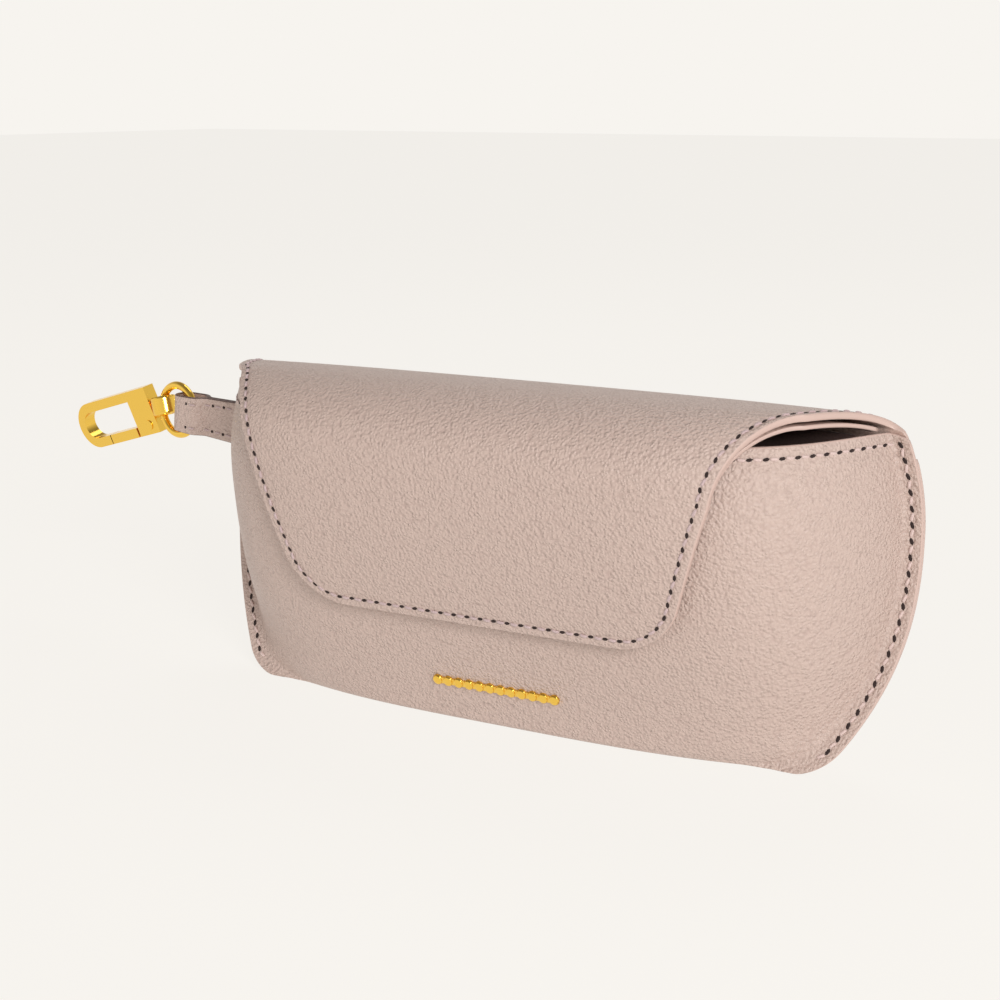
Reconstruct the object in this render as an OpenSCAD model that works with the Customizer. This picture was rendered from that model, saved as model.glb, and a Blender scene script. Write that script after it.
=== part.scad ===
// Soft pouch glasses case with a fold-over flap, a side strap, a ring and a gate clasp.
// +X runs along the case, -Y is the flap side, +Z is up. The origin is on the floor under the pouch.

/* [Pouch] */
// Half width of the pouch at its widest
half_w = 87; // [84:0.5:91]
// Height of the widest place of the side seam
widest_z = 50.5; // [48:0.5:54]
// How far the side seam curves in at the floor
seam_in = 15.2; // [14:0.1:18]
// Height of the pouch's mouth
mouth_top = 71.9; // [71:0.1:72.4]
// How far the seam leans back at its rearmost place
seam_lean = 12; // [10:0.5:13]
// Depth of the foot in front of the origin
foot_front = 11; // [10.6:0.1:11.4]
// Extra depth of the front at its fullest
front_bulge = 16; // [15:0.1:17]
// Fullness of the back behind the seam
back_belly = 7; // [6:0.5:8]
// Radius of the folds along the foot
foot_r = 1.5; // [1:0.5:2]
// Radius of the pouch's lower corners
corner_r = 5; // [3:0.5:6]
// Width of the flat seam outside the bulge of the front
flange = 3.5; // [3:0.5:4]

/* [Leather and layers] */
// Thickness of the pouch leather
leather_t = 1.2; // [1:0.1:1.4]
// Thickness of the stiffening board
board_t = 0.8; // [0.5:0.1:0.9]
// Thickness of the lining
lining_t = 0.6; // [0.4:0.1:0.7]
// Air between two layers
layer_gap = 0.15; // [0.1:0.05:0.2]

/* [Flap] */
// Height of the flap's lower edge
flap_low = 27; // [25:0.5:31]
// Half width of the flap at its lower edge, before the corners are rounded
flap_low_w = 44.5; // [40:0.5:50]
// Radius of the flap's lower corners
flap_corner = 11; // [6:1:14]
// Height of the top of the flap
flap_top = 78; // [77.5:0.1:79]
// Thickness of the flap's outer leather
flap_leather_t = 1.5; // [1.2:0.1:1.7]
// Thickness of the flap's lining leather
flap_lining_t = 0.9; // [0.6:0.1:1]
// Air between the flap and the front panel
flap_gap = 0.6; // [0.4:0.1:1]

/* [Stitching] */
// Distance from the end of one stitch to the next
stitch_pitch = 3.2; // [2.8:0.1:4]
// Length of one stitch
stitch_l = 2.1; // [1.6:0.1:2.4]
// Distance of the stitching from an edge
stitch_inset = 2; // [1.8:0.1:2.4]

/* [Strap and ring] */
// Height of the strap
strap_h = 10.6; // [10.2:0.2:11]
// Length of the strap from the seam to the fold
strap_l = 19.9; // [18:0.1:22]
// Radius of the ring, to the middle of its wire
ring_r = 6.3; // [6:0.1:7]
// Radius of the ring's wire
wire_r = 1; // [0.9:0.05:1.1]

/* [Clasp] */
// Length of the clasp
clasp_l = 32; // [29:0.5:34]
// Width of the clasp
clasp_w = 12.4; // [12:0.2:13]
// Thickness of the clasp
clasp_t = 3.4; // [3.2:0.1:3.8]
// Downward tilt of the clasp
clasp_tilt = 21; // [0:1:30]

/* [Ornament] */
// Length of the ornament
ornament_l = 32; // [31:1:36]
// Height of the ornament above the floor
ornament_z = 10; // [9:0.5:12]
// Number of beads in the ornament
bead_n = 12; // [8:1:12]

/* [Hidden] */

blush = [0.82, 0.72, 0.68];
lining_pink = [0.72, 0.60, 0.56];
board_grey = [0.55, 0.53, 0.50];
thread_mauve = [0.60, 0.50, 0.52];
gold = [0.86, 0.66, 0.22];
steel = [0.62, 0.63, 0.65];

// Panel grid: columns run across the pouch and rows run up it
half_cols = 12;
inner_cols = 8;
rows = 14;
back_power = 4;
front_round_z = 70;
flange_blend = 1.2;
mouth_dip = 1.6;
mouth_corner = 1.6;
hinge_z = 73;
flap_turn_z = 60;
flap_ridge_y = -11;
flap_t = flap_leather_t + board_t + flap_lining_t;
flap_board_inset = 7;
flap_hinge_w = 82.5;
flap_ridge_w = 69;
flap_turn_w = 55;
magnet_r = 6;
magnet_z = 38;
magnet_fit = 0.3;

// ---- Pouch surfaces. u is -1 at the left seam, 0 in the middle and 1 at the right seam ----

function rounding(z, r) = z < r ? r - sqrt(pow(r, 2) - pow(r - z, 2)) : 0;
function seam_x(z) =
    half_w - (z < widest_z ? seam_in * pow(1 - z / widest_z, 2.6) : 0.0075 * pow(z - widest_z, 2))
    - rounding(z, corner_r);
function seam_stretch(z) = sqrt(1 + pow(seam_x(z + 0.5) - seam_x(z - 0.5), 2));
function seam_y(z) = seam_lean - 0.0061 * pow(50 - z, 2);
function front_mid(z) = -foot_front - front_bulge * pow(sin(90 * z / front_round_z), 1.2) + rounding(z, foot_r);
function mouth_lean(u, z) = z > 54 ? 3.6 * pow((z - 54) / 18, 2) * (1 - pow(u, 4)) : 0;
// The front is boxy above and rounds off gently towards the foot
function front_power(z) = 7 - 3.5 * pow(max(0, 1 - z / 30), 2);
function soft_depth(d) = sqrt(d * d + pow(flange_blend, 2)) - flange_blend;
function front_y(u, z) =
    let (edge = seam_y(z) - leather_t,
         v = min(1, abs(u) * seam_x(z) / (seam_x(z) - flange * seam_stretch(max(1, z)))))
    edge - soft_depth((edge - front_mid(z)) * (1 - pow(v, front_power(z)))) + mouth_lean(u, z);
function belly(z) = back_belly * (1 - 0.8 * pow(z / mouth_top, 2)) - rounding(z, foot_r);
function back_y(u, z) = seam_y(z) + leather_t + belly(z) * (1 - pow(abs(u), back_power));
function mouth_z(u) =
    mouth_top - mouth_dip * (1 - u * u) - mouth_corner * pow(abs(u), 30);
function back_top_z(u) = hinge_z - 0.5 - 0.9 * pow(u, 4);

function front_point(u, z, off) = [u * seam_x(z), front_y(u, z) + off, z];
function back_point(u, z, off) = [u * seam_x(z), back_y(u, z) - off, z];
function columns(n) = [for (j = [-n:n]) sin(90 * j / half_cols)];

// Rows lie closer together near the foot
function row_at(i) = pow(i / rows, 1.3);

// One row of the foot that runs under the pouch, then the rows of the front above it
function front_grid(n, off, clip) =
    let (layer = off > leather_t)
    concat(
        [for (u = columns(n)) [u * seam_x(off), back_y(u, off) - (layer ? board_off : 0), off]],
        [for (u = columns(n)) front_point(u, off, off)],
        [for (i = [layer ? 2 : 1:rows - 1], u = columns(n)) front_point(u, mouth_z(u) * row_at(i), off)],
        [for (u = columns(n)) front_point(u, mouth_z(u) - clip, off)]
    );
function back_grid(n, off, low, clip) = [
    for (i = [0:rows], u = columns(n)) back_point(-u, low + (back_top_z(-u) - clip - low) * row_at(i), off)
];

// A closed sheet between an outer and an inner grid of the same rows and columns
module sheet(outer, inner, cols) {
    n = len(outer);
    last = n / cols - 1;
    function quad(a, b, c, d) = [[a, b, c], [a, c, d]];
    skin = [for (i = [0:last - 1], j = [0:cols - 2]) let (k = i * cols + j)
        each quad(k, k + cols, k + cols + 1, k + 1)];
    back = [for (i = [0:last - 1], j = [0:cols - 2]) let (k = n + i * cols + j)
        each quad(k, k + 1, k + cols + 1, k + cols)];
    ends = [for (j = [0:cols - 2]) each concat(
        quad(j, j + 1, n + j + 1, n + j),
        let (k = last * cols + j) quad(k, n + k, n + k + 1, k + 1))];
    sides = [for (i = [0:last - 1]) each concat(
        let (k = i * cols) quad(k, n + k, n + k + cols, k + cols),
        let (k = i * cols + cols - 1) quad(k, k + cols, n + k + cols, n + k))];
    polyhedron(concat(outer, inner), concat(skin, back, ends, sides));
}

// ---- Stitches: small flat bars along a row of points, each half sunk in the leather ----

thread_r = 0.28;
stitch_sink = 0.15;
stitch_rise = 0.25;

function unit(v) = v / norm(v);
function bar_points(a, b, out) =
    let (side = thread_r * unit(cross(b - a, out)))
    [for (p = [a, b], h = [-stitch_sink, stitch_rise], s = [-1, 1]) p + s * side + h * out];
bar_faces = [[2, 3, 1, 0], [5, 7, 6, 4], [4, 6, 2, 0], [3, 7, 5, 1], [1, 5, 4, 0], [6, 7, 3, 2]];

// bars holds one [start, end, outward] per stitch
module stitches(bars) {
    points = [for (b = bars) each bar_points(b[0], b[1], b[2])];
    faces = [for (i = [0:len(bars) - 1], f = bar_faces) [for (k = f) k + 8 * i]];
    polyhedron(points, faces);
}

// ---- Pouch ----

full = 2 * half_cols + 1;
inner = 2 * inner_cols + 1;
board_off = leather_t + layer_gap;
lining_off = board_off + board_t + layer_gap;
foot_off = lining_off + lining_t;

module front_panel()
    color(blush)
    sheet(front_grid(half_cols, 0, 0), front_grid(half_cols, leather_t, 0), full);

module back_panel()
    color(blush)
    sheet(back_grid(half_cols, 0, leather_t, 0), back_grid(half_cols, leather_t, leather_t, 0), full);

module front_board()
    color(board_grey)
    difference() {
        sheet(front_grid(inner_cols, board_off, 4), front_grid(inner_cols, board_off + board_t, 4), inner);
        at_magnet() cylinder(r = magnet_r + magnet_fit, h = 12, center = true, $fn = 64);
    }

module back_board()
    color(board_grey)
    sheet(
        back_grid(inner_cols, board_off, foot_off, 3),
        back_grid(inner_cols, board_off + board_t, foot_off, 3), inner);

module front_lining()
    color(lining_pink)
    sheet(front_grid(inner_cols, lining_off, 1), front_grid(inner_cols, foot_off, 1), inner);

module back_lining()
    color(lining_pink)
    sheet(
        back_grid(inner_cols, lining_off, foot_off + layer_gap, 1.5),
        back_grid(inner_cols, foot_off, foot_off + layer_gap, 1.5), inner);

// Where the seam's stitching lies at a height z
function seam_inset_u(z) = 1 - stitch_inset * seam_stretch(z) / seam_x(z);
function seam_bar(z, side) =
    let (h = stitch_l / 2 / seam_stretch(z),
         u0 = side * seam_inset_u(z - h), u1 = side * seam_inset_u(z + h))
    [front_point(u0, z - h, 0), front_point(u1, z + h, 0), [0, -1, 0]];
seam_low = 3.4;
seam_high = 68.6;
seam_stitches = 23;
function seam_spot_z(i) = seam_low + (seam_high - seam_low) * pow(i / (seam_stitches - 1), 1.1);
seam_bars_z = [for (i = [0:seam_stitches - 1]) seam_spot_z(i)];

module seam_thread_right()
    color(thread_mauve)
    stitches([for (z = seam_bars_z) seam_bar(z, 1)]);

module seam_thread_left()
    color(thread_mauve)
    stitches([for (z = seam_bars_z) seam_bar(z, -1)]);

// The mouth hem follows the front panel's top edge
mouth_stitches = 50;
mouth_du = 0.5 * stitch_l / half_w;
function mouth_point(u) = front_point(u, mouth_z(u) - 2.1, 0);

module mouth_thread()
    color(thread_mauve)
    stitches([for (i = [0:mouth_stitches - 1]) let (u = 0.96 * (2 * i / (mouth_stitches - 1) - 1))
        [mouth_point(u - mouth_du), mouth_point(u + mouth_du), [0, -1, 0]]]);

// The magnets lie square to the front panel, one in each stiffening board
front_slope = atan((front_y(0, magnet_z - 1) - front_y(0, magnet_z + 1)) / 2);
module at_magnet()
    translate([0, front_y(0, magnet_z) + board_off + board_t / 2, magnet_z])
    rotate([90 + front_slope, 0, 0])
    children();

module pouch_magnet()
    color(steel)
    at_magnet() cylinder(r = magnet_r, h = board_t - 0.1, center = true, $fn = 64);

// ---- Ornament: a slim rail with a row of round beads, held by two prongs ----

rail_h = 1.6;
rail_t = 0.5;
bead_r = 1.25;
bead_t = 1;
prong_r = 0.5;
prong_l = 2.1;
ornament_slope = atan((front_y(0, ornament_z - 1) - front_y(0, ornament_z + 1)) / 2);

module at_ornament()
    translate([0, front_y(0, ornament_z) - 0.02, ornament_z])
    rotate([90 + ornament_slope, 0, 0])
    children();

module ornament()
    color(gold)
    at_ornament() {
        translate([-ornament_l / 2 + bead_r, -rail_h / 2, 0])
            cube([ornament_l - 2 * bead_r, rail_h, rail_t]);
        for (i = [0:bead_n - 1])
            translate([(ornament_l - 2 * bead_r) * (i / (bead_n - 1) - 0.5), 0, 0])
                rotate_extrude($fn = 20)
                polygon([[0, 0], [bead_r, 0], [bead_r, 0.4], [1.05, 0.75], [0.6, bead_t - 0.06], [0, bead_t]]);
    }

module ornament_prongs()
    color(gold)
    at_ornament()
    for (side = [-1, 1])
        translate([side * ornament_l * 0.36, 0, -prong_l])
            cylinder(r = prong_r, h = prong_l, $fn = 32);

// ---- Flap. q runs up the front (0 to 1), over the front edge (1 to 2) and back to the hinge (2 to 3) ----

function u_at(x, z) = min(1, abs(x) / seam_x(z));
function flap_face(x, z) = [front_y(u_at(x, z), z) - mouth_lean(u_at(x, z), z) - flap_gap - flap_t, z];
function ridge_z(x) = flap_top - 0.4 * pow(x / 66, 2);
function curve4(a, b, c, d, t) =
    a * pow(1 - t, 3) + 3 * b * t * pow(1 - t, 2) + 3 * c * t * t * (1 - t) + d * pow(t, 3);
function turn_curve(x, t) =
    let (a = flap_face(x, flap_turn_z),
         d = [flap_ridge_y, ridge_z(x)],
         up = 0.6 * (d[1] - a[1]),
         along = 0.72 * (d[0] - a[0]))
    curve4(a, a + [-0.22 * up, up], d - [along, 0], d, t);
function rear_curve(x, t) =
    let (a = [flap_ridge_y, ridge_z(x)],
         u = u_at(x, hinge_z),
         d = [back_y(u, back_top_z(u)), back_top_z(u) + 0.5])
    curve4(a, a + [9, 0], d + [0, 3.5], d, t);
function flap_curve(x, q) =
    q <= 1 ? flap_face(x, flap_low + (flap_turn_z - flap_low) * q) :
    q <= 2 ? turn_curve(x, q - 1) : rear_curve(x, min(1, q - 2));
function flap_in(x, q) =
    let (e = 0.02, v = flap_curve(x, min(3, q + e)) - flap_curve(x, max(0, q - e)))
    unit([v[1], -v[0]]);
function flap_point(x, q, off) =
    let (p = flap_curve(x, q) + off * flap_in(x, q))
    [x, p[0], p[1]];

// Half width of the flap, with its lower corners rounded
function flap_side(q) =
    q <= 1 ? flap_low_w + (flap_turn_w - flap_low_w) * q :
    q <= 2 ? flap_turn_w + 7 * (q - 1) + (flap_ridge_w - flap_turn_w - 7) * pow(q - 1, 2) :
    flap_ridge_w + (flap_hinge_w - flap_ridge_w) * (q - 2);
flap_face_l = (flap_turn_z - flap_low) * 1.07;
function corner_in(q, inset) =
    let (r = flap_corner - inset, s = q * flap_face_l - inset)
    s < r ? r - sqrt(max(0, r * r - pow(r - s, 2))) : 0;
function flap_w(q, inset) = flap_side(q) - inset - corner_in(q, inset);

flap_half_cols = 9;
flap_cols = 2 * flap_half_cols + 1;
function flap_rows(inset, end) = let (low = inset / flap_face_l) concat(
    [for (i = [0:4]) low + (0.32 - low) * pow(i / 4, 2)],
    [for (i = [1:4]) 0.32 + 0.68 * i / 4],
    [for (i = [1:7]) 1 + i / 7],
    [for (i = [1:5]) 2 + (end - 2) * i / 5]
);
function flap_grid(inset, end, off) = [
    for (q = flap_rows(inset, end), j = [-flap_half_cols:flap_half_cols])
        flap_point(flap_w(q, inset) * j / flap_half_cols, q, off)
];
board_under = flap_leather_t + 0.05;

module flap_leather()
    color(blush)
    sheet(flap_grid(0, 3, 0), flap_grid(0, 3, flap_leather_t), flap_cols);

module flap_board()
    color(board_grey)
    difference() {
        sheet(
            flap_grid(flap_board_inset, 2.5, board_under),
            flap_grid(flap_board_inset, 2.5, board_under + board_t - 0.1), flap_cols);
        at_flap_magnet() cylinder(r = magnet_r + magnet_fit, h = 12, center = true, $fn = 64);
    }

module flap_lining()
    color(lining_pink)
    sheet(flap_grid(0.4, 3, flap_t - flap_lining_t), flap_grid(0.4, 3, flap_t), flap_cols);

module at_flap_magnet()
    translate([0, front_y(0, magnet_z) - flap_gap - flap_t + board_under + board_t / 2, magnet_z])
    rotate([90 + front_slope, 0, 0])
    children();

module flap_magnet()
    color(steel)
    at_flap_magnet() cylinder(r = magnet_r, h = board_t - 0.4, center = true, $fn = 64);

// The flap's stitching runs up both sides and along the lower edge
side_stitches = 30;
low_stitches = 22;
function side_spot(q, side) = flap_point(side * flap_w(q, stitch_inset), q, 0);
function out_at(x, q) = let (n = -flap_in(x, q)) [0, n[0], n[1]];
function side_q(k) = 0.1 + 2.75 * k;
function side_bar(k, side) =
    let (q = side_q(k), e = 0.012 + 0.018 * min(1, q), p = side_spot(q - e, side), r = side_spot(q + e, side),
         m = (p + r) / 2, d = unit(r - p) * stitch_l / 2)
    [m - d, m + d, out_at(abs(m[0]), q)];
low_q = stitch_inset / flap_face_l;
low_half = flap_w(low_q, stitch_inset);

module flap_thread()
    color(thread_mauve)
    stitches(concat(
        [for (i = [0:side_stitches - 1], side = [-1, 1]) side_bar(i / (side_stitches - 1), side)],
        [for (i = [0:low_stitches - 1]) let (x = low_half * (2 * i / (low_stitches - 1) - 1))
            [flap_point(x - stitch_l / 2, low_q, 0), flap_point(x + stitch_l / 2, low_q, 0), out_at(x, low_q)]]
    ));

// ---- Strap. Its own frame starts at the seam, with -X along the strap and Z up ----

strap_z = 58.2;
strap_out = 0.3;
strap_rise = 5;
strap_end_h = 8.8;
strap_t = 1.25;
loop_gap = 2.2;
loop_l = 3.2;
loop_x = -strap_l + loop_gap + strap_t;
ring_limb_x = loop_x + 2;
ring_turn = -12;
ring_drop = 0.3;

module on_strap()
    translate([-seam_x(strap_z) - strap_out, seam_y(strap_z), strap_z])
    rotate([0, strap_rise, 0])
    children();

// The ring's frame stands in the loop, with Z along the ring's limb and -X towards its far side
module on_ring()
    on_strap()
    translate([ring_limb_x, 0, -ring_drop])
    rotate([0, 0, ring_turn])
    children();

module strap_outline(half, sewn)
    union() {
        translate([loop_x, 0]) circle(r = half, $fn = 48);
        translate([-sewn, 0]) circle(r = sewn, $fn = 48);
        polygon([
            [loop_x, -half], [loop_x + loop_l, -half], [loop_x + loop_l + 3.6, -sewn], [-sewn, -sewn],
            [-sewn, sewn], [loop_x + loop_l + 3.6, sewn], [loop_x + loop_l, half], [loop_x, half]]);
    }

// The strap is a little lower at its fold than at the seam
module strap_leather()
    color(blush)
    on_strap()
    intersection() {
        translate([0, 0, -strap_h / 2])
            linear_extrude(strap_h)
            difference() {
                strap_outline(loop_gap + strap_t, strap_t);
                translate([loop_x, 0]) circle(r = loop_gap, $fn = 48);
                polygon([
                    [loop_x, -loop_gap], [loop_x + loop_l, -loop_gap], [loop_x + loop_l + 3.4, 0],
                    [loop_x + loop_l, loop_gap], [loop_x, loop_gap]]);
            }
        rotate([90, 0, 0])
            linear_extrude(12, center = true)
            polygon([
                [1, -strap_h / 2], [1, strap_h / 2],
                [-strap_l - 1, strap_end_h / 2], [-strap_l - 1, -strap_end_h / 2]]);
    }

strap_stitch_inset = 1.7;
module strap_thread()
    color(thread_mauve)
    on_strap()
    for (row = [-1, 1])
        stitches([for (i = [0:1], side = [-1, 1])
            let (x = -3 - i * stitch_pitch, y = side * strap_t, z = row * (strap_h / 2 - strap_stitch_inset))
            [[x - stitch_l / 2, y, z], [x + stitch_l / 2, y, z], [0, side, 0]]]);

// ---- Ring and swivel. The ring hangs in the strap's loop and carries the swivel's eye ----

eye_r = 2.7;
eye_wall = 0.6;
eye_h = 1.8;
eye_x = 0.65 - 2 * ring_r;
clasp_roll = -13;
clasp_gap = 0.25;
post_r = 0.8;
post_bore_r = 0.86;
post_head_r = 1.15;
post_l = 4.2;
post_head_l = 1.3;
head_room = 0.15;

module strap_ring()
    color(gold)
    on_ring()
    translate([-ring_r, 0, 0])
    rotate([90, 0, 0])
    rotate_extrude($fn = 72)
    translate([ring_r, 0]) circle(r = wire_r, $fn = 20);

// The eye's frame starts at its centre, with +X along the clasp and Y up across it
module on_eye()
    on_ring()
    translate([eye_x, 0, 0])
    rotate([0, -clasp_tilt, 0])
    rotate([0, 0, 180])
    rotate([90, 0, 0])
    children();

// The clasp's frame is the eye's, turned about the swivel post
module on_clasp()
    on_eye()
    rotate([clasp_roll, 0, 0])
    children();

module swivel_eye()
    color(gold)
    on_eye() {
        rotate([90, 0, 0]) rotate_extrude($fn = 48) translate([eye_r, 0]) {
            translate([-eye_wall, -eye_h]) square([2 * eye_wall, 2 * eye_h]);
            for (end = [-1, 1]) translate([0, end * eye_h]) circle(r = eye_wall, $fn = 12);
        }
        rotate([0, 90, 0]) {
            translate([0, 0, eye_r]) cylinder(r = post_r, h = post_l + 1, $fn = 32);
            translate([0, 0, eye_r + post_l]) cylinder(r = post_head_r, h = post_head_l, $fn = 32);
        }
    }

// ---- Clasp: block, hook with its mouth on the lower side, and a sprung gate ----

clasp_x = eye_r + eye_wall + clasp_gap;
block_l = 8.4;
rail_w = 2.6;
nose_r = clasp_w / 2;
hook_end = 21;
gate_start = 9.1;
gate_end = hook_end - 0.3;
pin_x = 3.4;
pin_y = -3.7;
pin_r = 0.6;
pin_bore_r = 0.64;
slot_t = 1.5;
tongue_t = 1.3;

module clasp_outline()
    difference() {
        union() {
            translate([0, -nose_r]) square([clasp_l - nose_r, clasp_w]);
            translate([clasp_l - nose_r, 0]) circle(r = nose_r, $fn = 96);
        }
        translate([block_l, -nose_r + rail_w]) square([clasp_l - nose_r - block_l, clasp_w - 2 * rail_w]);
        translate([clasp_l - nose_r, 0]) circle(r = nose_r - rail_w, $fn = 96);
        translate([block_l, -nose_r - 1]) square([hook_end - block_l, rail_w + 2]);
    }

module clasp_body()
    color(gold)
    on_clasp()
    translate([clasp_x, 0, 0])
    difference() {
        translate([0, 0, -clasp_t / 2]) linear_extrude(clasp_t) clasp_outline();
        // Swivel post and its head
        rotate([0, 90, 0]) {
            translate([0, 0, -1]) cylinder(r = post_bore_r, h = 5, $fn = 32);
            translate([0, 0, post_seat]) cylinder(r = post_head_r + 0.06, h = post_head_l + 2 * head_room, $fn = 32);
        }
        // Slot for the gate's tongue
        translate([0, 0, -slot_t / 2]) linear_extrude(slot_t)
            polygon([[0.9, -nose_r - 1], [0.9, -1.9], [4.6, -1.9], [block_l + 1, -0.2], [block_l + 1, -nose_r - 1]]);
        translate([pin_x, pin_y, 0]) cylinder(r = pin_r, h = clasp_t + 2, center = true, $fn = 32);
    }
post_seat = eye_r + post_l - clasp_x - head_room;

module clasp_gate()
    color(gold)
    on_clasp()
    translate([clasp_x, 0, 0])
    difference() {
        union() {
            translate([gate_start, -nose_r, -clasp_t / 2]) cube([gate_end - gate_start, rail_w, clasp_t]);
            translate([pin_x, pin_y - 1.3, -tongue_t / 2]) cube([gate_start - pin_x + 0.5, 2.4, tongue_t]);
            translate([pin_x, pin_y, 0]) cylinder(r = 1.6, h = tongue_t, center = true, $fn = 48);
        }
        translate([pin_x, pin_y, 0]) cylinder(r = pin_bore_r, h = clasp_t + 2, center = true, $fn = 32);
    }

module gate_pin()
    color(gold)
    on_clasp()
    translate([clasp_x + pin_x, pin_y, 0]) {
        cylinder(r = pin_r, h = clasp_t, center = true, $fn = 32);
        for (face = [-1, 1])
            translate([0, 0, face * (clasp_t / 2 + 0.12)]) cylinder(r = 1.35, h = 0.24, center = true, $fn = 48);
    }

// A leaf that lies along the slot's roof and bears on the tongue
module gate_spring()
    color(steel)
    on_clasp()
    translate([clasp_x, 0, 0])
    translate([0, 0, -0.45]) linear_extrude(0.9)
    polygon([[1.2, -1.92], [4.6, -1.92], [8, -2.3], [8, -2.5], [4.5, -2.12], [1.2, -2.12]]);

front_panel();
back_panel();
front_board();
back_board();
front_lining();
back_lining();
seam_thread_right();
seam_thread_left();
mouth_thread();
pouch_magnet();
ornament();
ornament_prongs();
flap_leather();
flap_board();
flap_lining();
flap_thread();
flap_magnet();
strap_leather();
strap_thread();
strap_ring();
swivel_eye();
clasp_body();
clasp_gate();
gate_pin();
gate_spring();
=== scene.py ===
"""Looks of the soft pouch glasses case: leather, stitching, lining and gold hardware on the CAD frame."""

import math

import bpy
import numpy as np
from mathutils import Matrix, Vector


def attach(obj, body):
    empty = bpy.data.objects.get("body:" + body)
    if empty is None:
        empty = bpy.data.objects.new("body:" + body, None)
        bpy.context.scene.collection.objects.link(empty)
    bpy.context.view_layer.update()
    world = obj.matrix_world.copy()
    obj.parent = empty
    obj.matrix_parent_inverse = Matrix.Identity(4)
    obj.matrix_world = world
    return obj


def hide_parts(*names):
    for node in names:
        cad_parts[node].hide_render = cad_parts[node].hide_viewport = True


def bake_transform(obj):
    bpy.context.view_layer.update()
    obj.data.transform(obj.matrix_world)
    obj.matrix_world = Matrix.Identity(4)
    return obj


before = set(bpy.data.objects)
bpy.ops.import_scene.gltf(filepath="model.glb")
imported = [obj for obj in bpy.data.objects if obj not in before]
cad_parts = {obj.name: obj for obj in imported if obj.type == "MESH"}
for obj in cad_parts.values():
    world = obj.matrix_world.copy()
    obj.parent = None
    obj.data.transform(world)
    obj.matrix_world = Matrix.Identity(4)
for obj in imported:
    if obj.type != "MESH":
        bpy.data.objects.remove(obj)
MM = 0.001

# ---- Camera ----
cam = bpy.data.objects.new("camera", bpy.data.cameras.new("camera"))
cam.location = (0.1862, -0.344, 0.1397)
cam.rotation_euler = (math.radians(90 - 12.85), 0, math.radians(29.18))
cam.data.sensor_width = 36
cam.data.lens = 64.8
bpy.context.scene.collection.objects.link(cam)
bpy.context.scene.camera = cam
bpy.context.scene.view_settings.view_transform = "Standard"

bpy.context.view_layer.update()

# ---- The pouch's shape, in mm, as in the CAD source ----
HALF_W, WIDEST_Z, SEAM_IN, MOUTH_TOP = 87.0, 50.5, 15.2, 71.9
SEAM_LEAN, FOOT_FRONT, BULGE, BELLY = 12.0, 11.0, 16.0, 7.0
FOOT_R, CORNER_R, FLANGE, FLANGE_BLEND = 1.5, 5.0, 3.5, 1.2
LEATHER, BOARD, LINING, GAP = 1.2, 0.8, 0.6, 0.15
HINGE_Z = 73.0
FLAP_LOW, FLAP_LOW_W, FLAP_CORNER, FLAP_TOP = 27.0, 44.5, 11.0, 78.0
FLAP_GAP, FLAP_T, FLAP_LEATHER = 0.6, 3.2, 1.5
STITCH_IN = 2.0
MOUTH_DIP, MOUTH_CORNER = 1.6, 1.6
LEAN_FROM, LEAN_RISE, LEAN_BACK = 54, 18, 3.6
FRONT_ROUND_Z, FRONT_POWER, FOOT_SOFTER, FOOT_SOFT_Z = 70, 7, 3.5, 30
TURN_Z, RIDGE_Y, RIDGE_DROP, RIDGE_W = 60, -11.0, 0.4, 66
TURN_W, OVER_W, HINGE_W = 55, 69, 82.5


def rounding(z, r):
    return np.where(z < r, r - np.sqrt(np.maximum(0, r * r - (r - np.minimum(z, r)) ** 2)), 0)


def seam_x(z):
    low = SEAM_IN * np.clip(1 - z / WIDEST_Z, 0, None) ** 2.6
    high = 0.0075 * np.clip(z - WIDEST_Z, 0, None) ** 2
    return HALF_W - low - high - rounding(z, CORNER_R)


def seam_stretch(z):
    z = np.maximum(z, 1)
    return np.sqrt(1 + (seam_x(z + 0.5) - seam_x(z - 0.5)) ** 2)


def seam_y(z):
    return SEAM_LEAN - 0.0061 * (50 - z) ** 2


def mouth_lean(u, z):
    return np.where(z > LEAN_FROM, LEAN_BACK * ((z - LEAN_FROM) / LEAN_RISE) ** 2 * (1 - u ** 4), 0)


def front_y(u, z):
    middle = -FOOT_FRONT - BULGE * np.sin(np.radians(90 * z / FRONT_ROUND_Z)) ** 1.2 + rounding(z, FOOT_R)
    edge = seam_y(z) - LEATHER
    width = seam_x(z)
    v = np.minimum(1, np.abs(u) * width / (width - FLANGE * seam_stretch(z)))
    power = FRONT_POWER - FOOT_SOFTER * np.clip(1 - z / FOOT_SOFT_Z, 0, None) ** 2
    depth = (edge - middle) * (1 - v ** power)
    lean = mouth_lean(u, z)
    return edge - (np.sqrt(depth ** 2 + FLANGE_BLEND ** 2) - FLANGE_BLEND) + lean


def back_y(u, z):
    belly = BELLY * (1 - 0.8 * (z / MOUTH_TOP) ** 2) - rounding(z, FOOT_R)
    return seam_y(z) + LEATHER + belly * (1 - np.abs(u) ** 4)


def mouth_z(u):
    return MOUTH_TOP - MOUTH_DIP * (1 - u * u) - MOUTH_CORNER * np.abs(u) ** 30


def back_top_z(u):
    return HINGE_Z - 0.5 - 0.9 * u ** 4


# ---- The flap's shape ----
# q runs up its front (0 to 1), over the edge (1 to 2) and back to the hinge (2 to 3)
def flap_face(x, z):
    u = np.minimum(1, np.abs(x) / seam_x(z))
    lean = mouth_lean(u, z)
    return front_y(u, z) - lean - FLAP_GAP - FLAP_T, z


def bezier(a, b, c, d, t):
    return a * (1 - t) ** 3 + 3 * b * t * (1 - t) ** 2 + 3 * c * t * t * (1 - t) + d * t ** 3


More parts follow.
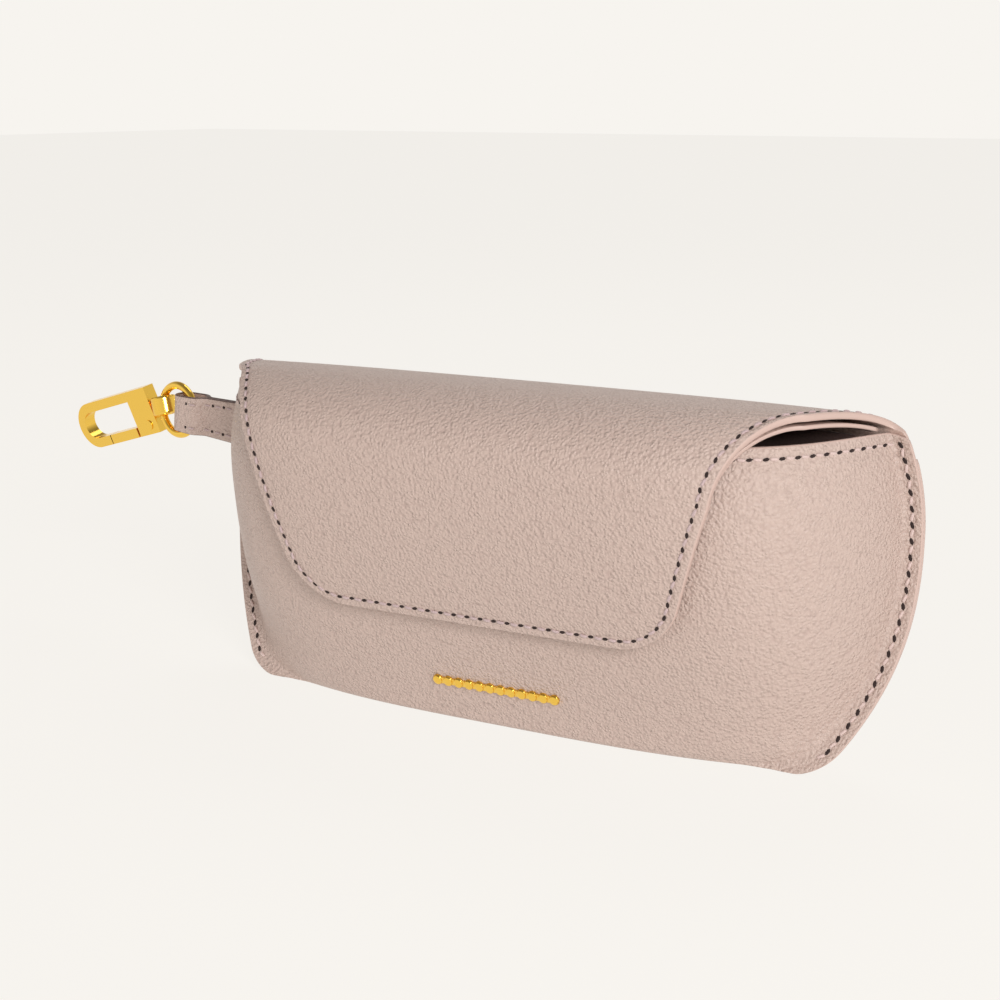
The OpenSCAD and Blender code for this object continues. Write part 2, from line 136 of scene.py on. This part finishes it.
def flap_curve(x, q):
    """Where the flap's outer face is at x and q, as (y, z) arrays."""
    ridge_y, ridge_z = RIDGE_Y, FLAP_TOP - RIDGE_DROP * (x / RIDGE_W) ** 2
    t1, t2 = np.clip(q - 1, 0, 1), np.clip(q - 2, 0, 1)
    face = flap_face(x, FLAP_LOW + (TURN_Z - FLAP_LOW) * np.clip(q, 0, 1))
    ay, az = flap_face(x, np.full_like(x, TURN_Z))
    up, along = 0.6 * (ridge_z - az), 0.72 * (ridge_y - ay)
    turn = (bezier(ay, ay - 0.22 * up, ridge_y - along, ridge_y, t1),
            bezier(az, az + up, ridge_z, ridge_z, t1))
    u = np.minimum(1, np.abs(x) / seam_x(np.full_like(x, HINGE_Z)))
    dy, dz = back_y(u, back_top_z(u)), back_top_z(u) + 0.5
    rear = (bezier(ridge_y, ridge_y + 9, dy, dy, t2), bezier(ridge_z, ridge_z, dz + 3.5, dz, t2))
    y = np.where(q <= 1, face[0], np.where(q <= 2, turn[0], rear[0]))
    z = np.where(q <= 1, face[1], np.where(q <= 2, turn[1], rear[1]))
    return y, z


def flap_in(x, q):
    e = 0.02
    y1, z1 = flap_curve(x, np.minimum(3, q + e))
    y0, z0 = flap_curve(x, np.maximum(0, q - e))
    length = np.hypot(y1 - y0, z1 - z0)
    return (z1 - z0) / length, -(y1 - y0) / length


def flap_point(x, q, off):
    y, z = flap_curve(x, q)
    ny, nz = flap_in(x, q)
    return np.stack([x, y + off * ny, z + off * nz], -1)


FACE_L = (TURN_Z - FLAP_LOW) * 1.07
CORNER_Q = 0.34


def flap_w(q, inset):
    side = np.where(q <= 1, FLAP_LOW_W + (TURN_W - FLAP_LOW_W) * q,
                    np.where(q <= 2, TURN_W + 7 * (q - 1) + (OVER_W - TURN_W - 7) * (q - 1) ** 2,
                             OVER_W + (HINGE_W - OVER_W) * (q - 2)))
    r, s = FLAP_CORNER - inset, q * FACE_L - inset
    corner = np.where(s < r, r - np.sqrt(np.maximum(0, r * r - (r - s) ** 2)), 0)
    return side - inset - corner


# ---- Meshes ----
def add_mesh(name, verts, faces, materials, index=None):
    me = bpy.data.meshes.new(name)
    me.from_pydata((np.asarray(verts) * MM).tolist(), [], faces)
    for m in materials:
        me.materials.append(m)
    if index is not None:
        me.polygons.foreach_set("material_index", index)
    me.polygons.foreach_set("use_smooth", [True] * len(me.polygons))
    me.update()
    o = bpy.data.objects.new(name, me)
    bpy.context.scene.collection.objects.link(o)
    return o


def grid_faces(n, m, start, flip):
    k = start + np.arange(n - 1)[:, None] * m + np.arange(m - 1)[None, :]
    f = np.stack([k, k + 1, k + m + 1, k + m], -1).reshape(-1, 4)
    return f[:, ::-1] if flip else f


def sheet(name, outer, inner, materials, bulge=0.3, flip=False):
    """A closed sheet between two grids of points, with rounded rims. materials are outer, inner and rim."""
    n, m, _ = outer.shape
    verts = [outer.reshape(-1, 3), inner.reshape(-1, 3)]
    skin, back = grid_faces(n, m, 0, flip), grid_faces(n, m, n * m, not flip)
    ring = [(0, j) for j in range(m - 1)] + [(i, m - 1) for i in range(n - 1)] \
        + [(n - 1, j) for j in range(m - 1, 0, -1)] + [(i, 0) for i in range(n - 1, 0, -1)]
    ri, rj = np.array(ring).T
    ni = np.clip(ri, 1, n - 2)
    nj = np.clip(rj, 1, m - 2)
    out = outer[ri, rj] - outer[ni, nj]
    out /= np.maximum(np.linalg.norm(out, axis=1, keepdims=True), 1e-9)
    loops = [ri * m + rj]
    steps = 5
    for k in range(1, steps):
        s = (1 - math.cos(math.pi * k / steps)) / 2
        p = outer[ri, rj] * (1 - s) + inner[ri, rj] * s + out * bulge * math.sin(math.pi * k / steps)
        loops.append(len(np.concatenate(verts)) + np.arange(len(ring)))
        verts.append(p)
    loops.append(n * m + ri * m + rj)
    rim = []
    for a, b in zip(loops[:-1], loops[1:]):
        q = np.stack([a, b, np.roll(b, -1), np.roll(a, -1)], -1)
        rim.append(q[:, ::-1] if flip else q)
    rim = np.concatenate(rim)
    faces = np.concatenate([skin, back, rim])
    index = [0] * len(skin) + [1] * len(back) + [2] * len(rim)
    return add_mesh(name, np.concatenate(verts), faces.tolist(), materials, index)


def columns(n, reach=1.0):
    """Places across the pouch, closer together near the seams."""
    return np.sin(np.linspace(-1, 1, 2 * n + 1) * math.asin(reach))


def row_places(n):
    return np.linspace(0, 1, n + 1) ** 1.5


def front_grid(n_cols, n_rows, reach, off, clip, groove=0.0):
    u = columns(n_cols, reach)[None, :] + np.zeros((n_rows + 1, 1))
    z = off + (mouth_z(u) - clip - off) * row_places(n_rows)[:, None]
    y = front_y(u, z) + off
    if groove:
        d = (1 - np.abs(u)) * seam_x(z) / seam_stretch(z) - STITCH_IN
        y = y + groove * np.exp(-(d / 0.7) ** 2) + groove * np.exp(-((mouth_z(u) - z - 2.1) / 0.7) ** 2)
    top = np.stack([u * seam_x(z), y, z], -1)
    z0 = np.full((1, u.shape[1]), off)
    y1 = back_y(u[:1], z0) - (off - LEATHER if off > 0 else 0)
    rows = [y1 + (y[:1] - y1) * t for t in (0, 0.25, 0.5, 0.75)]
    under = np.concatenate([np.stack([u[:1] * seam_x(z0), r, z0], -1) for r in rows])
    return np.concatenate([under, top])


def back_grid(n_cols, n_rows, reach, off, low, clip, top=None):
    u = columns(n_cols, reach)[None, :] + np.zeros((n_rows + 1, 1))
    high = back_top_z(u) - clip if top is None else np.full_like(u, top)
    z = low + (high - low) * row_places(n_rows)[:, None]
    return np.stack([u * seam_x(z), back_y(u, z) - off, z], -1)


def flap_rows(inset, end, n):
    low = inset / FACE_L
    return np.concatenate([low + (CORNER_Q - low) * np.linspace(0, 1, n) ** 2,
                           CORNER_Q + 0.66 * np.linspace(0, 1, n)[1:],
                           1 + np.linspace(0, 1, 2 * n)[1:], 2 + (end - 2) * np.linspace(0, 1, n)[1:]])


def flap_grid(inset, end, off, n=16, cols=60, groove=0.0):
    q = flap_rows(inset, end, n)[:, None] + np.zeros((1, 2 * cols + 1))
    w = flap_w(q, inset)
    x = w * columns(cols)[None, :]
    depth = off
    if groove:
        side = w - np.abs(x)
        low = np.minimum(q, 1) * FACE_L - inset
        d = np.minimum(side, np.where(q < 1, low, side))
        depth = off + groove * np.exp(-((d - STITCH_IN) / 0.7) ** 2)
    return flap_point(x, q, depth)


# ---- Materials ----
def rgb(r, g, b):
    """An sRGB colour, 0 to 255, as linear RGBA."""
    return tuple(((c / 255 + 0.055) / 1.055) ** 2.4 for c in (r, g, b)) + (1,)


def material(name, color, rough=0.5, metallic=0.0, **extra):
    m = bpy.data.materials.new(name)
    m.use_nodes = True
    b = m.node_tree.nodes["Principled BSDF"]
    b.inputs["Base Color"].default_value = color
    b.inputs["Roughness"].default_value = rough
    b.inputs["Metallic"].default_value = metallic
    for k, v in extra.items():
        b.inputs[k.replace("_", " ")].default_value = v
    return m


def node(m, kind, **inputs):
    n = m.node_tree.nodes.new(kind)
    for k, v in inputs.items():
        n.inputs[k.replace("_", " ")].default_value = v
    return n


def leather(name, color, dark, grain=1500.0, bump=1.0, rough=0.42):
    """Fine pebbled leather: rounded cells with soft creases between them and broad, faint unevenness."""
    m = material(name, color, rough, Specular_IOR_Level=0.42)
    nt = m.node_tree
    bsdf = nt.nodes["Principled BSDF"]
    co = nt.nodes.new("ShaderNodeTexCoord")
    warp = node(m, "ShaderNodeTexNoise", Scale=420.0, Detail=2.0)
    mix = nt.nodes.new("ShaderNodeVectorMath")
    mix.operation = "MULTIPLY_ADD"
    mix.inputs[1].default_value = (0.0009, 0.0009, 0.0009)
    cells = node(m, "ShaderNodeTexVoronoi", Scale=grain)
    cells.feature = "SMOOTH_F1"
    cells.inputs["Smoothness"].default_value = 0.6
    fine = node(m, "ShaderNodeTexNoise", Scale=2600.0, Detail=3.0, Roughness=0.6)
    broad = node(m, "ShaderNodeTexNoise", Scale=130.0, Detail=3.0, Roughness=0.5)
    mid = node(m, "ShaderNodeTexNoise", Scale=480.0, Detail=2.0, Roughness=0.5)
    nt.links.new(co.outputs["Object"], warp.inputs["Vector"])
    nt.links.new(warp.outputs["Color"], mix.inputs[0])
    nt.links.new(co.outputs["Object"], mix.inputs[2])
    nt.links.new(mix.outputs[0], cells.inputs["Vector"])
    for n in (fine, broad, mid):
        nt.links.new(co.outputs["Object"], n.inputs["Vector"])
    height = None
    for source, share in ((cells.outputs["Distance"], -1.0), (fine.outputs["Fac"], 0.35),
                          (mid.outputs["Fac"], 0.4), (broad.outputs["Fac"], 0.5)):
        step = nt.nodes.new("ShaderNodeMath")
        step.operation = "MULTIPLY_ADD"
        step.inputs[1].default_value = share
        step.inputs[2].default_value = 0.0
        nt.links.new(source, step.inputs[0])
        if height is not None:
            nt.links.new(height, step.inputs[2])
        height = step.outputs[0]
    bm = node(m, "ShaderNodeBump", Strength=bump, Distance=0.0004)
    nt.links.new(height, bm.inputs["Height"])
    nt.links.new(bm.outputs["Normal"], bsdf.inputs["Normal"])
    # The colour darkens toward the creases between the cells: partly the grain's own tone, partly painted
    # shade in the creases
    ramp = nt.nodes.new("ShaderNodeValToRGB")
    ramp.color_ramp.elements[0].position, ramp.color_ramp.elements[1].position = 0.45, 0.9
    ramp.color_ramp.elements[0].color, ramp.color_ramp.elements[1].color = color, dark
    nt.links.new(cells.outputs["Distance"], ramp.inputs["Fac"])
    nt.links.new(ramp.outputs["Color"], bsdf.inputs["Base Color"])
    return m


def woven(name, color, dark, scale, bump=0.3, rough=0.9):
    """A soft napped cloth."""
    m = material(name, color, rough, Sheen_Weight=0.25, Sheen_Roughness=0.5)
    nt = m.node_tree
    co = nt.nodes.new("ShaderNodeTexCoord")
    n = node(m, "ShaderNodeTexNoise", Scale=scale, Detail=4.0, Roughness=0.7)
    nt.links.new(co.outputs["Object"], n.inputs["Vector"])
    ramp = nt.nodes.new("ShaderNodeValToRGB")
    ramp.color_ramp.elements[0].color, ramp.color_ramp.elements[1].color = dark, color
    ramp.color_ramp.elements[0].position, ramp.color_ramp.elements[1].position = 0.3, 0.7
    nt.links.new(n.outputs["Fac"], ramp.inputs["Fac"])
    nt.links.new(ramp.outputs["Color"], nt.nodes["Principled BSDF"].inputs["Base Color"])
    bm = node(m, "ShaderNodeBump", Strength=bump, Distance=0.0001)
    nt.links.new(n.outputs["Fac"], bm.inputs["Height"])
    nt.links.new(bm.outputs["Normal"], nt.nodes["Principled BSDF"].inputs["Normal"])
    return m


def polished(name, color, rough=0.16):
    """Polished plated metal with faint wear in the gloss."""
    m = material(name, color, rough, 1.0)
    nt = m.node_tree
    co = nt.nodes.new("ShaderNodeTexCoord")
    n = node(m, "ShaderNodeTexNoise", Scale=500.0, Detail=3.0)
    nt.links.new(co.outputs["Object"], n.inputs["Vector"])
    spread = nt.nodes.new("ShaderNodeMapRange")
    spread.inputs["To Min"].default_value, spread.inputs["To Max"].default_value = rough * 0.7, rough * 1.4
    nt.links.new(n.outputs["Fac"], spread.inputs["Value"])
    nt.links.new(spread.outputs["Result"], nt.nodes["Principled BSDF"].inputs["Roughness"])
    bm = node(m, "ShaderNodeBump", Strength=0.05, Distance=0.00005)
    nt.links.new(n.outputs["Fac"], bm.inputs["Height"])
    nt.links.new(bm.outputs["Normal"], nt.nodes["Principled BSDF"].inputs["Normal"])
    return m


blush = leather("blush_leather", rgb(194, 172, 162), rgb(184, 161, 152))
backing = leather("flap_backing_leather", rgb(184, 158, 147), rgb(162, 134, 123), bump=0.25, rough=0.6)
edge_paint = material("painted_edge", rgb(196, 170, 160), 0.4)
edge_dark = material("strap_edge_paint", rgb(96, 72, 66), 0.45)
nap = woven("lining_nap", rgb(96, 72, 66), rgb(74, 54, 50), 2500.0)
fibre = woven("fibreboard", rgb(150, 142, 132), rgb(126, 118, 108), 1200.0)
thread_pale = woven("thread_pale", rgb(222, 200, 194), rgb(184, 158, 152), 5000.0, rough=0.6)
thread_mauve = woven("thread_mauve", rgb(206, 184, 182), rgb(164, 140, 142), 5000.0, rough=0.6)
# Painted shade: a near-black colour for the marks that stand for the shade inside the stitch holes
hole_shade_paint = material("stitch_hole_painted_shade", rgb(44, 30, 28), 0.9)
gold = polished("polished_gold", rgb(244, 200, 88))
steel = polished("plain_steel", rgb(170, 172, 176), 0.35)

# ---- Pouch ----
COLS, ROWS = 90, 110
front = sheet("pouch_front", front_grid(COLS, ROWS, 1, 0, 0, groove=0.18),
              front_grid(COLS, ROWS, 1, LEATHER, 0), [blush, backing, edge_paint])
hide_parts("front_panel")
SPLIT_Z = 66.0
back = sheet("pouch_back", back_grid(COLS, ROWS, 1, 0, LEATHER, 0, top=SPLIT_Z),
             back_grid(COLS, ROWS, 1, LEATHER, LEATHER, 0, top=SPLIT_Z),
             [blush, backing, edge_paint], flip=True)
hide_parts("back_panel")

# The inner layers reach across 8 of the 12 column steps on each side, as in the CAD source
INNER = math.sin(math.radians(90 * 8 / 12))
BOARD_OFF = LEATHER + GAP
LINING_OFF = BOARD_OFF + BOARD + GAP
FOOT_OFF = LINING_OFF + LINING
INNER_GRID = (60, 50, INNER)
layers = [
    ("board_front", "front_board", fibre, False,
     front_grid(*INNER_GRID, BOARD_OFF, 4),
     front_grid(*INNER_GRID, BOARD_OFF + BOARD, 4)),
    ("lining_front", "front_lining", nap, False,
     front_grid(*INNER_GRID, LINING_OFF, 1),
     front_grid(*INNER_GRID, FOOT_OFF, 1)),
    ("board_back", "back_board", fibre, True,
     back_grid(*INNER_GRID, BOARD_OFF, FOOT_OFF, 3),
     back_grid(*INNER_GRID, BOARD_OFF + BOARD, FOOT_OFF, 3)),
    ("lining_back", "back_lining", nap, True,
     back_grid(*INNER_GRID, LINING_OFF, FOOT_OFF + GAP, 1.5),
     back_grid(*INNER_GRID, FOOT_OFF, FOOT_OFF + GAP, 1.5)),
]
pouch_pieces = [(front, "blush_leather"), (back, "blush_leather")]
for name, cad, look, flip, outer, inner in layers:
    o = sheet(name, outer, inner, [look, look, look], bulge=0.1, flip=flip)
    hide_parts(cad)
    pouch_pieces.append((o, "stiffening_board" if "board" in name else "lining"))

# ---- Flap ----
flap_outer = flap_grid(0, 3, 0, groove=0.16)
flap_inner = flap_grid(0, 3, FLAP_LEATHER)
across = columns(60)


def strip(off, z_from):
    """The top of the back panel, which the flap's leather grows out of."""
    rows = []
    for t in np.linspace(1, 0, 9)[1:]:
        u = across * HINGE_W / seam_x(np.full_like(across, HINGE_Z))
        z = z_from + (back_top_z(u) - z_from) * t
        rows.append(np.stack([u * seam_x(z), back_y(u, z) - off, z], -1))
    return np.stack(rows)


flap_outer = np.concatenate([flap_outer, strip(0.0, SPLIT_Z)])
flap_inner = np.concatenate([flap_inner, strip(LEATHER, SPLIT_Z)])
flap = sheet("flap_skin", flap_outer, flap_inner, [blush, backing, edge_paint])
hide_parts("flap_leather")
flap_board = sheet("board_flap", flap_grid(7, 2.5, FLAP_LEATHER + 0.05),
                   flap_grid(7, 2.5, FLAP_LEATHER + 0.75), [fibre] * 3, bulge=0.1)
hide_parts("flap_board")
# The lining ends a little short of the hinge
flap_back = sheet("flap_underside", flap_grid(0.4, 2.7, FLAP_T - 0.9),
                  flap_grid(0.4, 2.7, FLAP_T), [backing, backing, edge_paint], bulge=0.25)
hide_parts("flap_lining")


# ---- Stitching ----
def unit(v):
    return v / max(np.linalg.norm(v), 1e-9)


def stitch_row(name, spots, look, pitch_share=0.56, r=0.36, hole_l=1.6, hole_r=0.38, slant=0.25):
    """Bowed threads, each followed by a near-black mark that paints the shade in its stitch hole. A spot is
    (middle, along, outward, pitch).
    """
    verts, faces, index = [], [], []
    segs, sides = 8, 8
    for mid, along, out, pitch in spots:
        along, out = unit(along), unit(out)
        side = unit(np.cross(along, out))
        run = unit(along + side * slant)
        cross = unit(np.cross(run, out))
        base = len(verts)
        half = pitch * pitch_share / 2
        for i in range(segs + 1):
            t = i / segs * 2 - 1
            rise = 0.14 - 0.34 * t ** 4
            rad = r * math.sqrt(max(0.05, 1 - t ** 6))
            c = mid + run * half * t + out * rise
            for j in range(sides):
                a = 2 * math.pi * j / sides
                verts.append(c + cross * rad * math.cos(a) + out * rad * 0.8 * math.sin(a))
        for i in range(segs):
            for j in range(sides):
                k = base + i * sides
                faces.append((k + j, k + (j + 1) % sides, k + sides + (j + 1) % sides, k + sides + j))
                index.append(0)
        # The mark after the thread: painted shade of the stitch hole, a flat dark tube lying just over the
        # leather
        base = len(verts)
        dip = unit(along - side * slant * 1.4)
        dcross = unit(np.cross(dip, out))
        centre = mid + along * pitch / 2
        for i in range(5):
            t = i / 4 * 2 - 1
            rad = hole_r * math.sqrt(max(0.02, 1 - t ** 4))
            c = centre + dip * hole_l / 2 * t
            for j in range(sides):
                a = 2 * math.pi * j / sides
                lift = (0.05 + 0.06 * math.sin(a)) * (1 if abs(t) < 1 else 0.3)
                verts.append(c + dcross * rad * math.cos(a) + out * lift)
        for i in range(4):
            for j in range(sides):
                k = base + i * sides
                faces.append((k + j, k + (j + 1) % sides, k + sides + (j + 1) % sides, k + sides + j))
                index.append(1)
        for k, flip in ((base, True), (base + 4 * sides, False)):
            f = [k + j for j in range(sides)]
            faces.append(f[::-1] if flip else f)
            index.append(1)
    return add_mesh(name, verts, faces, [look, hole_shade_paint], index)


def along_path(points, outs, pitch):
    """Evenly spaced (middle, along, outward, pitch) along a dense path."""
    points = np.asarray(points)
    step = np.linalg.norm(np.diff(points, axis=0), axis=1)
    s_at = np.concatenate([[0], np.cumsum(step)])
    n = max(1, int(round(s_at[-1] / pitch)))
    real = s_at[-1] / n

    def at(place, values):
        return np.array([np.interp(place, s_at, values[:, k]) for k in range(3)])

    spots = []
    for i in range(n):
        a, b = s_at[-1] * (i + 0.2) / n, s_at[-1] * (i + 0.8) / n
        m = (a + b) / 2
        spots.append((at(m, points), at(b, points) - at(a, points), at(m, outs), real))
    return spots


def seam_path(side):
    z = np.linspace(3.0, 69.3, 200)
    u = 1 - STITCH_IN * seam_stretch(z) / seam_x(z)
    p = np.stack([side * u * seam_x(z), front_y(u, z) + 0.1, z], -1)
    e = 0.5
    tz = np.stack([side * (u * (seam_x(z + e) - seam_x(z))),
                   front_y(u, z + e) - front_y(u, z), np.full_like(z, e)], -1)
    tx = np.stack([np.full_like(z, side * 0.3), np.zeros_like(z), np.zeros_like(z)], -1)
    tx[:, 1] = front_y(u + 0.3 / seam_x(z), z) - front_y(u, z)
    out = np.cross(tx, tz) * side
    out /= np.linalg.norm(out, axis=1, keepdims=True)
    return p, out


PITCH, FINE_PITCH, STRAP_PITCH = 3.5, 3.3, 3.4
seam_right = stitch_row("stitches_seam_right", along_path(*seam_path(1), PITCH), thread_pale)
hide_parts("seam_thread_right")
seam_left = stitch_row("stitches_seam_left", along_path(*seam_path(-1), PITCH), thread_pale, slant=-0.25)
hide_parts("seam_thread_left")
u = np.linspace(-0.968, 0.968, 400)
mz = mouth_z(u) - 2.1
mouth_line = np.stack([u * seam_x(mz), front_y(u, mz) + 0.1, mz], -1)
mouth_out = np.stack([np.zeros_like(u), -np.ones_like(u), np.zeros_like(u)], -1)
mouth = stitch_row("stitches_mouth", along_path(mouth_line, mouth_out, FINE_PITCH), thread_pale,
                   hole_l=1.4, hole_r=0.34, r=0.34, slant=0.12)
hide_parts("mouth_thread")

# The flap's row: down the left side, along the lower edge and up the right side, in one path
q_side = np.concatenate([np.linspace(0, CORNER_Q, 120)[1:], np.linspace(CORNER_Q, 2.93, 260)[1:]])
low_q = STITCH_IN / FACE_L
q_side = q_side[q_side > low_q + 0.0005]
x_side = flap_w(q_side, STITCH_IN)
x_low = np.linspace(-1, 1, 60) * float(flap_w(np.array([low_q]), STITCH_IN)[0])
xs = np.concatenate([-x_side[::-1], x_low, x_side])
qs = np.concatenate([q_side[::-1], np.full(60, low_q), q_side])
line = flap_point(xs, qs, 0.1 + np.zeros_like(xs))
ny, nz = flap_in(xs, qs)
flap_out = np.stack([np.zeros_like(xs), -ny, -nz], -1)
flap_stitches = stitch_row("stitches_flap", along_path(line, flap_out, FINE_PITCH), thread_mauve,
                           hole_l=1.35, hole_r=0.36, r=0.34, slant=0.15)
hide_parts("flap_thread")

# ---- Strap ----
STRAP_Z, STRAP_L, LOOP_GAP, STRAP_T, LOOP_L = 58.2, 19.9, 2.2, 1.25, 3.2
LOOP_X = -STRAP_L + LOOP_GAP + STRAP_T
KNEE = LOOP_X + LOOP_L
KNEE_EASE, ROW_IN = 3.6, 1.7
STRAP_ROOT = (-float(seam_x(np.array(STRAP_Z))) - 0.3, float(seam_y(STRAP_Z)), STRAP_Z)
on_strap = Matrix.Translation(STRAP_ROOT) @ Matrix.Rotation(math.radians(5), 4, "Y")


def in_strap(points):
    m = np.array(on_strap)
    return points @ m[:3, :3].T + m[:3, 3]


def strap_middle(n):
    """The leather's middle line in the strap's x and y: out along one face, round the fold and back."""
    r = LOOP_GAP + STRAP_T / 2
    sewn = STRAP_T / 2 + 0.02
    t = np.linspace(0, 1, n)
    ease = t * t * (3 - 2 * t)
    side = np.stack([KNEE + KNEE_EASE * (1 - t), sewn + (r - sewn) * ease], -1)
    run = np.stack([np.linspace(0.6, KNEE + KNEE_EASE, n)[:-1], np.full(n - 1, sewn)], -1)
    flat = np.stack([np.linspace(KNEE, LOOP_X, n)[1:-1], np.full(n - 2, r)], -1)
    a = np.linspace(math.pi / 2, 3 * math.pi / 2, 3 * n)
    fold = np.stack([LOOP_X + r * np.cos(a), r * np.sin(a)], -1)
    half = np.concatenate([run, side, flat])
    return np.concatenate([half, fold, half[::-1] * [1, -1]])


path = strap_middle(14)
tangent = np.gradient(path, axis=0)
tangent /= np.linalg.norm(tangent, axis=1, keepdims=True)
normal = np.stack([-tangent[:, 1], tangent[:, 0]], -1)
heights = np.linspace(-1, 1, 15)


def strap_half(x):
    """Half the strap's height, which is a little less at its fold."""
    return np.interp(x, [-STRAP_L - 1, 1], [4.4, 5.3])


def strap_skin(off):
    pts = []
    for (x, y), (side_x, side_y) in zip(path, normal):
        half = strap_half(x) - 0.1
        pts.append([(x + side_x * off, y + side_y * off, h * half) for h in heights])
    return in_strap(np.array(pts).reshape(-1, 3)).reshape(len(path), len(heights), 3)


strap = sheet("strap_skin", strap_skin(-0.6), strap_skin(0.6), [blush, backing, edge_dark], bulge=0.2)
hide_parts("strap_leather")
spots = []
for face in (-1, 1):
    for row in (-1, 1):
        for k in range(4):
            x = -2.6 - STRAP_PITCH * k
            t = np.clip((KNEE + KNEE_EASE - x) / KNEE_EASE, 0, 1)
            y = STRAP_T + 0.02 + LOOP_GAP * (t * t * (3 - 2 * t))
            z = row * (strap_half(x) - ROW_IN)
            p = in_strap(np.array([[x, face * y, z], [x - 1, face * y, z], [x, face * (y + 1), z]]))
            spots.append((p[0], p[1] - p[0], p[2] - p[0], STRAP_PITCH))
strap_stitches = stitch_row("stitches_strap", spots, thread_mauve,
                            hole_l=0.8, hole_r=0.36, r=0.22, slant=0.0)
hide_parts("strap_thread")

# ---- Bodies ----
for o, name in pouch_pieces:
    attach(o, "pouch")
for o in (seam_right, seam_left, mouth):
    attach(o, "pouch")
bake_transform(flap)
for o, name in ((flap_board, "stiffening_board"), (flap_back, "flap_backing"), (flap_stitches, "thread")):
    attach(o, "flap")
for o, name in ((strap, "blush_leather"), (strap_stitches, "thread")):
    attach(o, "strap")

# ---- Hardware keeps its CAD shape, with eased edges and polished metal ----
BEVELS = {"clasp_body": 0.0007, "clasp_gate": 0.0003, "gate_pin": 0.0001,
          "ornament_prongs": 0.00005, "swivel_eye": 0.00008}
for name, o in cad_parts.items():
    if o.hide_render:
        continue
    look = steel if name in ("pouch_magnet", "flap_magnet", "gate_spring") else gold
    o.data.materials.clear()
    o.data.materials.append(look)
    for p in o.data.polygons:
        p.use_smooth = True
    if name in BEVELS:
        b = o.modifiers.new("eased", "BEVEL")
        b.width, b.segments, b.limit_method, b.angle_limit = BEVELS[name], 3, "ANGLE", math.radians(40)
        b.harden_normals = True
    else:
        e = o.modifiers.new("split", "EDGE_SPLIT")
        e.split_angle = math.radians(40)

# ---- Stage ----
PALE = rgb(249, 246, 241)
FLOOR_CORNERS = [(-4000, -3000, 0), (4000, -3000, 0), (4000, 5000, 0), (-4000, 5000, 0)]
floor = add_mesh("floor", FLOOR_CORNERS, [(0, 1, 2, 3)],
                 [material("floor_pale", rgb(95, 94, 92), 0.9, Specular_IOR_Level=0.0, Emission_Color=PALE,
                           Emission_Strength=0.88)])


def light(name, spot, aim, size, power, color=(1, 1, 1)):
    data = bpy.data.lights.new(name, "AREA")
    data.shape, data.size, data.energy, data.color = "SQUARE", size, power, color
    o = bpy.data.objects.new(name, data)
    o.location = spot
    o.rotation_euler = (Vector(aim) - Vector(spot)).to_track_quat("-Z", "Y").to_euler()
    bpy.context.scene.collection.objects.link(o)


light("key", (0.62, -0.6, 0.4), (0.02, 0, 0.04), 0.25, 5.4)
light("fill", (-0.8, -0.5, 0.3), (0, 0, 0.03), 0.7, 0.15)
light("top", (-0.1, 0.5, 0.8), (0, 0, 0.05), 0.5, 1.6)

# The studio is pale near the horizon and dimmer overhead
world = bpy.data.worlds.new("studio")
bpy.context.scene.world = world
world.use_nodes = True
wt = world.node_tree
way = wt.nodes.new("ShaderNodeTexCoord")
split = wt.nodes.new("ShaderNodeSeparateXYZ")
sky = wt.nodes.new("ShaderNodeValToRGB")
sky.color_ramp.elements[0].position, sky.color_ramp.elements[1].position = 0.12, 0.75
sky.color_ramp.elements[0].color, sky.color_ramp.elements[1].color = rgb(247, 244, 239), rgb(140, 137, 134)
wt.links.new(way.outputs["Generated"], split.inputs[0])
wt.links.new(split.outputs["Z"], sky.inputs["Fac"])
wt.links.new(sky.outputs["Color"], wt.nodes["Background"].inputs["Color"])
